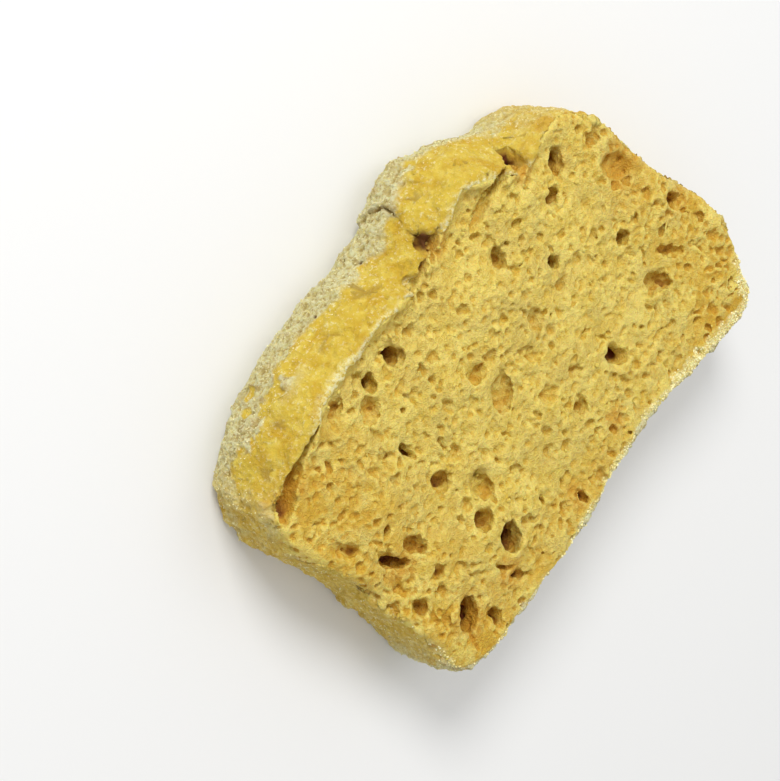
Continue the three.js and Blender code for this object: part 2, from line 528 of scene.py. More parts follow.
def weigh(thing, name, weights):
    # a vertex group in ten steps
    group = thing.vertex_groups.new(name=name)
    steps = np.rint(np.asarray(weights) * 10).astype(int)
    for step in range(1, 11):
        group.add(np.nonzero(steps == step)[0].tolist(), step / 10, "REPLACE")


class Face:
    # the surface of a piece as seen from above (up 1) or from below (up -1)
    def __init__(self, thing, up):
        self.tree = searchTree(thing)
        self.up = up

    def height(self, x, y):
        place = self.tree.ray_cast(Vector((x, y, self.up * 0.1)), Vector((0, 0, -self.up)))[0]
        return place.z if place else None


def creviceBubbles():
    bubbles = []
    for (fromX, fromY), (toX, toY), halfWidth, depth in crevices:
        turn = math.degrees(math.atan2(toY - fromY, toX - fromX))
        halfLength = math.hypot(toX - fromX, toY - fromY) * 0.62
        middle = Vector(((fromX + toX) / 2 * mm, (fromY + toY) / 2 * mm, sliceTop))
        bubbles.append((middle, (halfLength * mm, halfWidth * mm, depth * mm), flatTurn(turn)))
    return bubbles


def namedBubbles(face):
    bubbles = []
    for x, y, halfLength, halfWidth, turn, depth in openBubbles:
        lift = 0.25 * depth
        middle = Vector((x * mm, y * mm, (face.height(x * mm, y * mm) or sliceTop) + lift * mm))
        radii = (halfLength * mm * 1.04, halfWidth * mm * 1.04, (depth + lift) * mm)
        bubbles.append((middle, radii, flatTurn(turn)))
    return bubbles


def wallWay(depth, up):
    # a chance direction from a bubble's middle to its wall, away from its mouth
    return Vector((random.gauss(0, 1), random.gauss(0, 1), -up * abs(random.gauss(0, depth))))


def foamBubbles(face, share, named):
    # bubbles of falling size whose mouths leave thin walls between them
    s = crumbSizes
    taken = np.zeros((20000, 3))
    count = 0
    for middle, radii, _ in named:
        taken[count] = middle.x, middle.y, (radii[0] + radii[1]) / 2
        count += 1
    bubbles = []
    for smallest, largest, tries in s["foam"]:
        tries = int(tries * share)
        spots = np.random.default_rng(tries).uniform(
            (frameLow.x, frameLow.y, 0), (frameHigh.x, frameHigh.y, 1), (tries, 3)
        )
        dense = clouds(spots * (1, 1, 0), 9 * mm, 2, 40)
        dome, outward, inset = nearestStations(spots)
        onCrust = inset < outlineSizes["lipInset"] * dome + (0.6 + 1.4 * ramp(outward[:, 1], 0.3, 0.7)) * mm
        for (x, y, chance), solid, outside in zip(spots, dense, onCrust):
            if outside or solid > 0.2 + chance * 0.9:
                continue
            mouth = smallest + (largest - smallest) * random.random() ** 1.6
            gaps = np.hypot(taken[:count, 0] - x, taken[:count, 1] - y) - taken[:count, 2]
            if count and gaps.min() < mouth * s["mouthGap"]:
                continue
            height = face.height(x, y)
            if height is None:
                continue
            taken[count] = x, y, mouth
            count += 1
            # below zero for a shallow dish, above for a deep cell
            sink = random.uniform(-0.86, 0.2) if mouth > s["bigMouth"] else random.uniform(-0.75, 0.5)
            radius = mouth / math.sqrt(1 - sink * sink)
            middle = Vector((x, y, height - face.up * sink * radius))
            stretch = random.uniform(1.0, 1.25)
            radii = (radius * stretch, radius / stretch, radius)
            bubbles.append((middle, radii, flatTurn(random.uniform(0, 180))))
            if mouth > s["bigMouth"]:
                for _ in range(2 if mouth < s["hugeMouth"] else 6):
                    way = wallWay(1.2, face.up).normalized()
                    little = random.uniform(0.28, 0.5) * mm
                    bubbles.append((middle + way * radius, (little,) * 3, flatTurn(0)))
    print("foam:", count, "mouths")
    return bubbles


def wallBubbles(named):
    # little cells opening off the walls and floors of the big named ones
    bubbles = []
    for middle, radii, turn in named:
        for _ in range(int(radii[0] * radii[1] / mm / mm * 2.2) + 3):
            way = wallWay(1, 1).normalized()
            place = middle + turn @ Vector((way.x * radii[0], way.y * radii[1], way.z * radii[2]))
            little = random.uniform(0.3, 0.75) * mm
            bubbles.append((place, (little, little * 0.85, little), randomTurn()))
    return bubbles


def ripBubbles(face):
    # long narrow rips where the crumb tore, most of them lying one way
    s = crumbSizes
    draw = random.Random(21)
    bubbles = []
    for _ in range(s["rips"]):
        x, y = draw.uniform(frameLow.x, frameHigh.x), draw.uniform(frameLow.y, frameHigh.y)
        radii = [draw.uniform(*s[key]) * mm for key in ("ripLength", "ripWidth", "ripDepth")]
        turn = draw.gauss(*s["ripTurn"])
        dome, _, inset = nearestStations(np.array([(x, y, 0)]))
        height = face.height(x, y)
        if height is None or inset[0] < outlineSizes["lipInset"] * dome[0] + 4 * mm:
            continue
        bubbles.append((Vector((x, y, height)), radii, flatTurn(turn)))
    return bubbles


stations = sectionStations()
stationTree = kdtree.KDTree(len(stations))
for i, (point, _, _) in enumerate(stations):
    stationTree.insert((point.x, point.y, 0), i)
stationTree.balance()


def nearestStations(points):
    # for many points: the dome weight, the outward normal and the distance inside the outline
    nearest = np.array([stationTree.find((x, y, 0))[1] for x, y, _ in points])
    places = np.array([tuple(s[0]) for s in stations])[nearest]
    outward = np.array([tuple(s[1]) for s in stations])[nearest]
    dome = np.array([s[2] for s in stations])[nearest]
    inset = ((places - points) * outward)[:, :2].sum(1)
    return dome, outward, inset


# the whole slice, softened, from which every bread piece is cut
smoothBody = mergedFrame("smoothBody")
remesh(smoothBody, 0.5 * mm)
addModifier(smoothBody, "SMOOTH", iterations=6, factor=0.5)


def swellFace(thing):
    # slow swells on both the crumb and the crust's upper edge, so that they still meet
    points = readPoints(thing.data)
    share = ramp(points[:, 2], 17 * mm, 21.3 * mm)
    points[:, 2] += share * crumbSizes["swell"] * (clouds(points * (1, 1, 0), 11 * mm, 2, 5) - 0.1)
    writePoints(thing.data, points)


swellFace(smoothBody)
print("smooth body:", triangleCount(smoothBody), "triangles")


def dish(thing, size, strength, group):
    # presses close-set little dishes into the surface, with thin crests between them
    texture = bpy.data.textures.new(f"{thing.name}Dish{size * 1000:.1f}", "VORONOI")
    texture.noise_scale = size
    addModifier(
        thing, "DISPLACE", texture=texture, texture_coords="LOCAL", strength=strength,
        mid_level=0.45, vertex_group=group,
    )


def carve(thing, cutter):
    addModifier(thing, "BOOLEAN", operation="DIFFERENCE", solver="MANIFOLD", object=cutter)


def keepInside(thing, block):
    addModifier(thing, "BOOLEAN", operation="INTERSECT", solver="MANIFOLD", object=block)


def wobble(thing, size, reach):
    # shifts the points sideways by a slow cloud, so that round things lose their roundness
    texture = cloudTexture(f"{thing.name}Wobble", size, 2)
    texture.cloud_type = "COLOR"
    addModifier(
        thing, "DISPLACE", texture=texture, texture_coords="LOCAL", direction="RGB_TO_XYZ",
        strength=reach, mid_level=0.5,
    )


def cutSlab(thing, height, keepAbove):
    startEdit(thing)
    bpy.ops.mesh.bisect(
        plane_co=(0, 0, height), plane_no=(0, 0, 1), use_fill=True,
        clear_inner=keepAbove, clear_outer=not keepAbove,
    )
    endEdit()


def joinTo(thing, *others):
    pickOnly(thing, *others)
    bpy.ops.object.join()


def thinHidden(thing, hidden, ratio):
    # the faces nobody sees get far fewer triangles
    startEdit(thing)
    bpy.ops.mesh.select_all(action="DESELECT")
    endEdit()
    thing.data.polygons.foreach_set("select", hidden)
    bpy.ops.object.mode_set(mode="EDIT")
    bpy.ops.mesh.select_mode(type="FACE")
    bpy.ops.mesh.decimate(ratio=ratio)
    endEdit()


def storeValue(thing, name, values):
    attribute = thing.data.attributes.new(name, "FLOAT", "POINT")
    attribute.data.foreach_set("value", np.asarray(values, dtype=np.float32))


def readValue(thing, name):
    values = np.empty(len(thing.data.vertices), dtype=np.float32)
    thing.data.attributes[name].data.foreach_get("value", values)
    return values


def markHollows(thing, reference):
    # "hollow" is how deep each point lies below the uncut surface, in millimetres; the finishes paint shade
    # from it, darker the deeper
    tree = searchTree(reference)
    depths = []
    for vertex in thing.data.vertices:
        place, normal, _, distance = tree.find_nearest(vertex.co)
        depths.append(distance / mm if (vertex.co - place).dot(normal) < 0 else 0)
    storeValue(thing, "hollow", depths)


def markRidges(thing, iterations):
    # "ridge" is above zero on crests and below it in folds, in millimetres; the finishes paint highlight on
    # the crests and shade in the folds from it
    relaxed = copyOf(thing, "relaxed")
    addModifier(relaxed, "SMOOTH", iterations=iterations, factor=0.7)
    gap = readPoints(thing.data) - readPoints(relaxed.data)
    storeValue(thing, "ridge", (gap * readNormals(thing.data)).sum(1) / mm)
    discard(relaxed)


def finishMesh(thing, material):
    for face in thing.data.polygons:
        face.use_smooth = True
    thing.data.materials.clear()
    thing.data.materials.append(material)
    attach(thing, "root")
    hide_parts("toast")
    print(thing.name, "has", triangleCount(thing), "triangles")


class Wire:
    # a shader socket that can be reckoned with
    def __init__(self, tree, socket):
        self.tree, self.socket = tree, socket

    def maths(self, operation, first, second):
        return addNode(self.tree, "ShaderNodeMath", {"operation": operation}, {0: first, 1: second})

    def __add__(self, other):
        return self.maths("ADD", self, other)

    def __radd__(self, other):
        return self.maths("ADD", other, self)

    def __sub__(self, other):
        return self.maths("SUBTRACT", self, other)

    def __rsub__(self, other):
        return self.maths("SUBTRACT", other, self)

    def __mul__(self, other):
        return self.maths("MULTIPLY", self, other)

    def __rmul__(self, other):
        return self.maths("MULTIPLY", other, self)

    def over(self, low, high):
        # 0 at low and below, 1 at high and above, smooth between
        settings = {"interpolation_type": "SMOOTHSTEP"}
        return addNode(self.tree, "ShaderNodeMapRange", settings, {0: self, 1: low, 2: high})


def addNode(tree, kind, settings, inputs, output=0):
    node = tree.nodes.new(kind)
    for name, value in settings.items():
        setattr(node, name, value)
    for key, value in inputs.items():
        if isinstance(value, Wire):
            tree.links.new(value.socket, node.inputs[key])
        else:
            node.inputs[key].default_value = value
    return Wire(tree, node.outputs[output])


class Finish:
    # one material and the patterns it is made from
    def __init__(self, name):
        self.material = bpy.data.materials.new(name)
        self.material.use_nodes = True
        self.tree = self.material.node_tree
        self.shader = self.tree.nodes["Principled BSDF"]
        self.place = self.add("ShaderNodeTexCoord", {}, {}, "Object")

    def add(self, kind, settings, inputs, output=0):
        return addNode(self.tree, kind, settings, inputs, output)

    def along(self, axis):
        return self.add("ShaderNodeSeparateXYZ", {}, {0: self.place}, axis)

    def attribute(self, name):
        return self.add("ShaderNodeAttribute", {"attribute_name": name}, {}, "Fac")

    def warped(self, size, reach):
        # the place pushed about by noise, so that patterns lose their regular look
        inputs = {"Vector": self.place, "Scale": 1000.0 / size, "Detail": 2.0}
        push = self.add("ShaderNodeTexNoise", {}, inputs, "Color")
        inputs = {0: push, 1: (reach * mm,) * 3, 2: self.place}
        return self.add("ShaderNodeVectorMath", {"operation": "MULTIPLY_ADD"}, inputs)

    def cloud(self, size, detail=3.0, rough=0.55, twist=0.0, vector=None):
        # soft noise from 0 to 1 whose lumps are about this many millimetres across
        inputs = {
            "Vector": vector or self.place, "Scale": 1000.0 / size, "Detail": detail,
            "Roughness": rough, "Distortion": twist,
        }
        return self.add("ShaderNodeTexNoise", {}, inputs, "Fac")

    def cellEdges(self, size, vector):
        # how far a place is from the walls of cells of this size
        inputs = {"Vector": vector, "Scale": 1000.0 / size}
        return self.add("ShaderNodeTexVoronoi", {"feature": "DISTANCE_TO_EDGE"}, inputs, "Distance")

    def stretched(self, scale):
        return self.add("ShaderNodeMapping", {}, {"Vector": self.place, "Scale": scale})

    def blend(self, factor, first, second):
        inputs = {0: factor, 6: first, 7: second}
        return self.add("ShaderNodeMix", {"data_type": "RGBA"}, inputs, 2)

    def bump(self, height, distance, strength=1.0):
        inputs = {"Height": height, "Distance": distance, "Strength": strength}
        return self.add("ShaderNodeBump", {}, inputs)

    def set(self, name, value):
        if isinstance(value, Wire):
            self.tree.links.new(value.socket, self.shader.inputs[name])
        else:
            self.shader.inputs[name].default_value = value


def withAlpha(colours):
    return {name: (*value, 1.0) for name, value in colours.items()}


crumbColours = withAlpha({
    "dust": (0.95, 0.86, 0.41),
    # pale crumb, also the painted highlight on crests and on the walls of the finest cells
    "pale": (0.85, 0.69, 0.175),
    "gold": (0.70, 0.495, 0.072),
    # toasted crumb, also painted shade in the folds and in the shallow hollows of the crust
    "toasted": (0.66, 0.405, 0.04),
    # amber of browned spots and cell floors, also painted shade in folds and deeper in holes
    "hollow": (0.60, 0.30, 0.024),
    # painted shade at the bottom of deep holes and crevices
    "deepShade": (0.17, 0.034, 0.012),
    # olive patches, also painted shade on the floors of the finest cells
    "olive": (0.60, 0.445, 0.105),
})


def crumbFinish():
    f, c = Finish("toastedCrumb"), crumbColours
    x, y = f.along("X"), f.along("Y")
    hollow, ridge = f.attribute("hollow"), f.attribute("ridge")
    bent = f.warped(1.5, 0.9)
    # the finest cells, too small to model: their walls get a painted highlight and their floors painted
    # shade
    wall = 1 - f.cellEdges(1.05, bent).over(0.02, 0.2)   # pale walls of the finest cells
    fine = 1 - f.cellEdges(0.55, bent).over(0.02, 0.22)
    patches = f.cloud(5.5, 3, 0.6, 0.6).over(0.43, 0.60)
    broad = f.cloud(11, 3, 0.55, 0.4).over(0.45, 0.60)
    base = f.blend(patches, c["gold"], c["pale"])
    base = f.blend(broad * 0.8, base, c["olive"])
    # painted shade on the floors of the finest cells
    cellFloor = (1 - wall) * f.cloud(3.2, 2).over(0.4, 0.6)
    base = f.blend(cellFloor * 0.5, base, c["olive"])
    base = f.blend(wall * 0.4 + fine * 0.2, base, c["pale"])
    # painted shade in the folds and painted highlight on the crests
    base = f.blend((0 - ridge).over(0.02, 0.22) * 0.7, base, c["toasted"])
    base = f.blend(ridge.over(0.03, 0.2) * 0.55, base, c["pale"])
    ends = x.over(26 * mm, 56 * mm) * 0.9 + (0 - x).over(32 * mm, 54 * mm) * 0.8
    ends = ends + y.over(22 * mm, 40 * mm) * 0.6
    stain = (ends + 0.18) * f.cloud(7, 3, 0.6, 0.5).over(0.36, 0.60)
    # browned towards the ends and in the amber spots, kept off the crests as a painted highlight; the folds
    # near the ends get painted shade
    base = f.blend(stain * (1 - ridge.over(0.0, 0.25) * 0.7), base, c["toasted"])
    base = f.blend(ends * (0 - ridge).over(0.0, 0.15) * 0.6, base, c["hollow"])
    base = f.blend(f.attribute("amber") * (0.75 - ridge.over(0.0, 0.25) * 0.45), base, c["hollow"])
    # darker the deeper a point lies in a hole: partly the amber of toasted cell floors, partly painted
    # shade
    base = f.blend(hollow.over(0.9, 2.8) * 0.8, base, c["hollow"])
    base = f.blend(hollow.over(1.9, 3.4), base, c["deepShade"])
    specks = f.cloud(0.75, 4, 0.75).over(0.42, 0.56)
    base = f.blend(f.attribute("dust") * (0.25 + specks * 0.75), base, c["dust"])
    f.set("Base Color", base)
    grain = f.cloud(0.35, 3, 0.65) * 0.5 + f.cloud(1.0, 2, 0.6) * 0.4 + wall * 0.35 + fine * 0.25
    f.set("Normal", f.bump(grain, 0.45 * mm, 0.8))
    butter = f.cloud(9, 2).over(0.45, 0.6)
    f.set("Roughness", 0.70 - butter * 0.22)
    f.set("Subsurface Weight", 0.35)
    f.set("Subsurface Radius", (1.0, 0.65, 0.22))
    f.set("Subsurface Scale", 1.1 * mm)
    f.set("Specular IOR Level", 0.3)
    return f.material


crumbMaterial = crumbFinish()


def faceLumps(face):
    # solid little lumps standing in the face, where the crumb tore
    count, smallest, largest = crumbSizes["lumps"]
    lumps = []
    for _ in range(count):
        x, y = random.uniform(frameLow.x, frameHigh.x), random.uniform(frameLow.y, frameHigh.y)
        radius = random.uniform(smallest, largest)
        height = face.height(x, y)
        if height is None or height < sliceTop - 2.5 * mm:
            continue
        middle = Vector((x, y, height - radius * 0.45))
        lumps.append((middle, (radius * 1.2, radius, radius * 0.8), flatTurn(random.uniform(0, 180))))
    return lumps


crumbCore = coreBlock(stations, "crumbCore", 0.4 * mm)
creviceCloud = joinedBalls("creviceCloud", ball, creviceBubbles())
remesh(creviceCloud, crumbSizes["bubbleVoxel"])
roughen(creviceCloud, *crumbSizes["creviceRelief"])


def weighPatches(thing):
    # the face is torn more in some regions than in others, and evens out towards its rim
    points = readPoints(thing.data)
    _, _, inset = nearestStations(points)
    inner = ramp(inset, 1.0 * mm, 5.0 * mm)
    patchy = 0.25 + 0.75 * ramp(clouds(points * (1, 1, 0), 10 * mm, 2, 60), -0.35, 0.45)
    weigh(thing, "inner", 0.2 + 0.8 * inner)
    weigh(thing, "patchy", patchy * (0.3 + 0.7 * inner))


def storeStains(crumb):
    # flour along the edge by the bottom crust, and the browned spots
    points = readPoints(crumb.data)
    _, outward, inset = nearestStations(points)
    x = points[:, 0]
    width = (2.4 + 1.5 * ramp(-x, 14 * mm, 32 * mm) - 1.0 * ramp(x, 2 * mm, 26 * mm)) * mm
    ragged = clouds(points, 2.6 * mm, 3, 50) * 1.1 * mm
    dusted = ramp(outward[:, 1], 0.2, 0.6) * (1 - ramp(inset + ragged, width, width + 0.7 * mm))
    storeValue(crumb, "dust", dusted * ramp(points[:, 2], 17.5 * mm, 19 * mm))
    amber, ragged = np.zeros(len(points)), clouds(points, 3.4 * mm, 3, 51)
    for x, y, radius in amberSpots:
        away = np.hypot(points[:, 0] - x * mm, points[:, 1] - y * mm) / (radius * mm)
        amber = np.maximum(amber, 1 - ramp(away + 0.6 * ragged, 0.35, 1.1))
    storeValue(crumb, "amber", amber)


def makeCrumbTop():
    s = crumbSizes
    crumb = copyOf(smoothBody, "crumb")
    keepInside(crumb, crumbCore)
    remesh(crumb, s["slabVoxel"])
    cutSlab(crumb, s["topCut"], keepAbove=True)
    joinTo(crumb, joinedBalls("lumps", ball, faceLumps(Face(crumb, 1))))
    remesh(crumb, s["lumpyVoxel"])
    weighPatches(crumb)
    roughen(crumb, *s["tornRelief"], group="inner")
    dish(crumb, *s["tornDishes"], "patchy")
    face = Face(smoothBody, 1)
    named = namedBubbles(face)
    bubbles = named + wallBubbles(named) + foamBubbles(face, 1.0, named) + ripBubbles(face)
    holes = joinedBalls("holes", ball, bubbles)
    remesh(holes, s["bubbleVoxel"])
    wobble(holes, *s["bubbleWobble"])
    roughen(holes, *s["bubbleRelief"], depth=1)
    print("bubbles:", triangleCount(holes), "triangles")
    carve(crumb, holes)
    carve(crumb, creviceCloud)
    remesh(crumb, s["voxel"])
    addModifier(crumb, "SMOOTH", iterations=1, factor=0.5)
    crumb.vertex_groups.clear()
    weighPatches(crumb)
    dish(crumb, *s["fineDishes"], "patchy")
    roughen(crumb, *s["fineRelief"])
    print("crumb carved:", triangleCount(crumb), "triangles")
    thinHidden(crumb, faceHeights(crumb.data) < s["topCut"] + 1.2 * mm, s["hiddenShare"])
    thinTo(crumb, s["triangles"])
    markHollows(crumb, smoothBody)
    markRidges(crumb, 12)
    storeStains(crumb)
    finishMesh(crumb, crumbMaterial)
    return crumb, holes


underSizes = {
    "slabVoxel": 0.5 * mm,
    "bubbleVoxel": 0.3 * mm,
    "voxel": 0.4 * mm,
    "overlap": 0.6 * mm,        # how far it reaches into the shown crumb
    "foamShare": 0.5,           # of the bubbles tried in the shown face
    "relief": (1.2 * mm, 0.2 * mm),
    "hiddenAbove": 6 * mm,
    "triangles": 90000,
}


def makeCrumbUnder():
    s = underSizes
    under = copyOf(smoothBody, "crumbUnder")
    keepInside(under, crumbCore)
    remesh(under, s["slabVoxel"])
    cutSlab(under, crumbSizes["topCut"] + s["overlap"], keepAbove=False)
    holes = joinedBalls("underHoles", ball, foamBubbles(Face(under, -1), s["foamShare"], []))
    remesh(holes, s["bubbleVoxel"])
    carve(under, holes)
    remesh(under, s["voxel"])
    roughen(under, *s["relief"])
    thinHidden(under, faceHeights(under.data) > s["hiddenAbove"], crumbSizes["hiddenShare"])
    thinTo(under, s["triangles"])
    markHollows(under, smoothBody)
    markRidges(under, 12)
    finishMesh(under, crumbMaterial)
    discard(holes)


crumb, faceHoles = makeCrumbTop()
makeCrumbUnder()
print("both crumbs made")

crustSizes = {
    "voxel": 0.33 * mm,
    "triangles": 190000,
    "lipRise": 0.8 * mm,        # the curled inner lip on the dome
    "lipGap": (0.8 * mm, -31.6 * mm),  # where the lip lies down
    "softTop": 22.9 * mm,       # above this height the lip rises less
    "flourThick": 0.45 * mm,
    "tearStep": 0.9 * mm,       # how far one side of the tear stands above the other
    "tearDepth": 0.9 * mm,
    # the notch is painted dark as shade
    "notch": (-0.8, -34.4, 19.6),  # the dark hole where the tear starts, in millimetres
    "pitDepth": 0.5 * mm,
    "hiddenInset": 1.0,         # inside this, in millimetres, and between these heights nothing shows
    "hiddenFrom": 1 * mm,
    "hiddenTo": 18 * mm,
    "hiddenShare": 0.04,
}

# the tear that runs from the notch down the domed crust, in millimetres
tearLine = [
    (-0.5, -34.4, 21.5), (-0.6, -36.8, 17.4), (-2.2, -38.6, 14.5), (-3.2, -40.1, 9.9),
    (-1.5, -39.9, 6.6), (0.3, -39.4, 4.3),
]

# small pits in the crust, pressed in and painted dark as shade: x, y, z, radius, in millimetres
crustPits = [
    (23.7, -37.4, 11.4, 0.5), (-18.8, -34.2, 22.9, 0.6), (46.9, -31.1, 16.6, 0.55),
    (8.7, -36.9, 10.5, 0.5), (9.3, -37.1, 6.2, 0.4), (52.8, -28.4, 17.0, 0.45),
    (36.0, -34.6, 19.0, 0.35), (-30.0, -38.0, 17.0, 0.4),
]

# where thick flour has flaked: x, y, z, radius, and whether it is piled up (1) or gone (-1)
flourSpots = [
    (44.4, -33.0, 14.0, 3.1, -1), (40.1, -36.0, 9.6, 2.6, 1), (48.6, -31.6, 10.4, 3.4, 1),
    (50.8, -31.4, 5.0, 4.0, 1), (39.0, -36.6, 15.5, 2.2, 1), (43.0, -35.4, 6.8, 1.6, -1),
    (46.0, -33.4, 8.6, 1.3, -1), (52.4, -29.0, 12.2, 2.2, 1), (-3.4, -39.4, 11.6, 2.2, 1),
    (9.0, -37.4, 8.6, 3.0, 1), (33.0, -37.6, 8.0, 3.4, 1),
]


def distancesTo(points, *place):
    return np.linalg.norm(points - np.array(place) * mm, axis=1)


def spotShare(points, x, y, z, radius, seed):
    # 1 inside a ragged round spot, 0 outside it
    away = distancesTo(points, x, y, z) / (radius * mm)
    return 1 - ramp(away + 0.35 * clouds(points, 1.6 * mm, 2, seed), 0.9, 1.05)


def flourCover(points, dome, outward):
    # how thick the flour lies, 0 to 1, with crisp flaky edges
    z = points[:, 2]
    wander = clouds(points, 9 * mm, 2, 11) * 3.6 * mm + clouds(points, 2.4 * mm, 3, 12) * 2.0 * mm
    onDome = 1 - ramp(z + wander, 10.5 * mm, 12.5 * mm)
    base = ramp(outward[:, 1], 0.2, 0.7)   # the bottom crust has flour in patches and along its rim
    patches = clouds(points, 8 * mm, 3, 13) + clouds(points, 2.2 * mm, 2, 19) * 0.5
    patches = 0.15 + 0.85 * ramp(patches, -0.35, 0.0)
    onBase = base * np.maximum(patches, 0.9 * ramp(z, 18.5 * mm, 20.5 * mm))
    cover = np.maximum(dome * onDome, onBase)
    onSkin = (1 - dome) * (1 - base) * ramp(clouds(points, 4 * mm, 3, 14), 0.1, 0.5) * 0.35
    cover = np.maximum(cover, onSkin)
    for i, (x, y, z, radius, pile) in enumerate(flourSpots):
        spot = spotShare(points, x, y, z, radius, 20 + i)
        cover = np.where(pile > 0, np.maximum(cover, spot), cover * (1 - spot))
    return cover


def tearEffect(points):
    # how near each point lies to the tear, and on which side of it
    line = np.array(tearLine) * mm
    nearest = np.full(len(points), 1.0)
    for start, end in zip(line[:-1], line[1:]):
        along = end - start
        share = np.clip(((points - start) @ along) / (along @ along), 0, 1)
        nearest = np.minimum(nearest, np.linalg.norm(points - start - share[:, None] * along, axis=1))
    middleX = np.interp(points[:, 2], line[::-1, 2], line[::-1, 0])
    return nearest, points[:, 0] < middleX


def crustRelief(points, dome, flour, skin, rim):
    # how far the crust bulges out at each point
    push = clouds(points, 6.5 * mm, 2, 2) * (0.35 + 0.35 * dome) * mm
    push += clouds(points, 2.4 * mm, 3, 3) * (0.30 + 0.20 * flour + 0.14 * dome) * mm
    creases = 0.4 - np.abs(clouds(points, 1.4 * mm, 2, 8))
    push += creases * (0.40 + 0.35 * rim + 0.2 * flour) * mm
    push -= ramp(clouds(points, 2.0 * mm, 2, 16), 0.45, 0.75) * 0.35 * mm   # shallow dents
    push += skin * (clouds(points * (1, 1, 0.45), 3.0 * mm, 3, 18) * 0.8 - 0.1) * mm
    push += flour * (0.55 + 0.45 * clouds(points, 1.3 * mm, 2, 4)) * crustSizes["flourThick"]
    return push


def curlLip(points, dome, outward, inset):
    # the lip curls up along the inner edge of the dome, but not in the notch
    s = crustSizes
    lip = dome * ramp(inset, 2.6 * mm, 4.6 * mm) * ramp(points[:, 2], 19 * mm, 21.5 * mm)
    ragged = 0.55 + 0.45 * clouds(points * (1, 1, 0), 5 * mm, 2, 6)
    points[:, 2] += lip * ragged * s["lipRise"]
    x, y = s["lipGap"]
    away = np.hypot(points[:, 0] - x, points[:, 1] - y)
    sunk = (1 - ramp(away, 3.2 * mm, 5.4 * mm)) * np.maximum(points[:, 2] - 20.6 * mm, 0)
    points[:, 2] -= sunk * 0.8
    inward = lip * clouds(points, 1.8 * mm, 2, 7) * 0.6 * mm
    points -= outward * inward[:, None]
    tall = points[:, 2] - s["softTop"]
    points[:, 2] = np.where(tall > 0, s["softTop"] + tall * 0.3, points[:, 2])


def shapeCrust(thing):
    s = crustSizes
    points, normals = readPoints(thing.data), readNormals(thing.data)
    dome, outward, inset = nearestStations(points)
    outside = 1 - ramp(inset, 3.5 * mm, 6 * mm) * dome
    base = ramp(outward[:, 1], 0.2, 0.6)
    facing = np.maximum(ramp((normals * outward).sum(1), -0.2, 0.3), 0.9 * base)
    flour = flourCover(points, dome, outward) * np.maximum(facing, 0.12)
    skin = (1 - dome) * (1 - ramp(outward[:, 1], 0.3, 0.7))  # where neither dome nor base is
    level = points[:, 2] + clouds(points, 4 * mm, 2, 9) * 2 * mm
    rim = skin * ramp(level, 16.5 * mm, 20 * mm)
    push = crustRelief(points, dome, flour, skin, rim)
    near, farSide = tearEffect(points)
    push += np.where(farSide, 1, 0) * (1 - ramp(near, 0, 9 * mm)) * s["tearStep"]
    level = points[:, 2] + clouds(points, 3 * mm, 2, 15) * 2 * mm
    tear = 0.15 + 0.3 * (1 - ramp(level, 11 * mm, 14 * mm)) + 0.8 * ramp(level, 18 * mm, 20 * mm)
    tear = np.minimum(tear, 1)
    push -= (1 - ramp(near, 0.15 * mm, 0.75 * mm)) * tear * s["tearDepth"]
    # the notch and the small pits, to be painted dark as shade in the finish
    pits = 1 - ramp(distancesTo(points, *s["notch"]), 1.6 * mm, 2.4 * mm)
    pits = pits * (1 - ramp(points[:, 2], 20.4 * mm, 21.1 * mm))
    for x, y, z, radius in crustPits:
        away = distancesTo(points, x, y, z)
        push -= (1 - ramp(away, radius * 0.2 * mm, radius * 1.6 * mm)) * s["pitDepth"]
        pits = np.maximum(pits, 1 - ramp(away, radius * 0.5 * mm, radius * 1.0 * mm))
    push *= 1 - ramp(-normals[:, 2], 0.3, 0.8)               # the underside stays flat
    points += normals * (push * outside)[:, None]
    curlLip(points, dome, outward, inset)
    writePoints(thing.data, points)
    # the tear's groove is also painted dark as shade
    pits = np.maximum(pits, (1 - ramp(near, 0.15 * mm, 0.45 * mm)) * tear * 0.8)
    values = {"flour": flour, "dome": dome, "rim": rim, "pitShade": pits, "inset": inset / mm}
    for name, value in values.items():
        storeValue(thing, name, value)


crustColours = withAlpha({
    "gold": (0.71, 0.505, 0.055),
    "amber": (0.62, 0.38, 0.026),
    "honey": (0.84, 0.67, 0.13),
    "flour": (0.82, 0.70, 0.26),
    # flourTop is also a painted highlight on the crests of the flour
    "flourTop": (0.97, 0.92, 0.55),
    "skin": (0.77, 0.55, 0.095),
    # bare crust, also painted shade in the folds of the flour
    "bareAndShade": (0.58, 0.40, 0.12),
    # brown, also painted shade in the folds of the crust
    "brown": (0.38, 0.235, 0.04),
    # painted shade for the notch, the small pits and the tear
    "dark": (0.16, 0.06, 0.015),
})


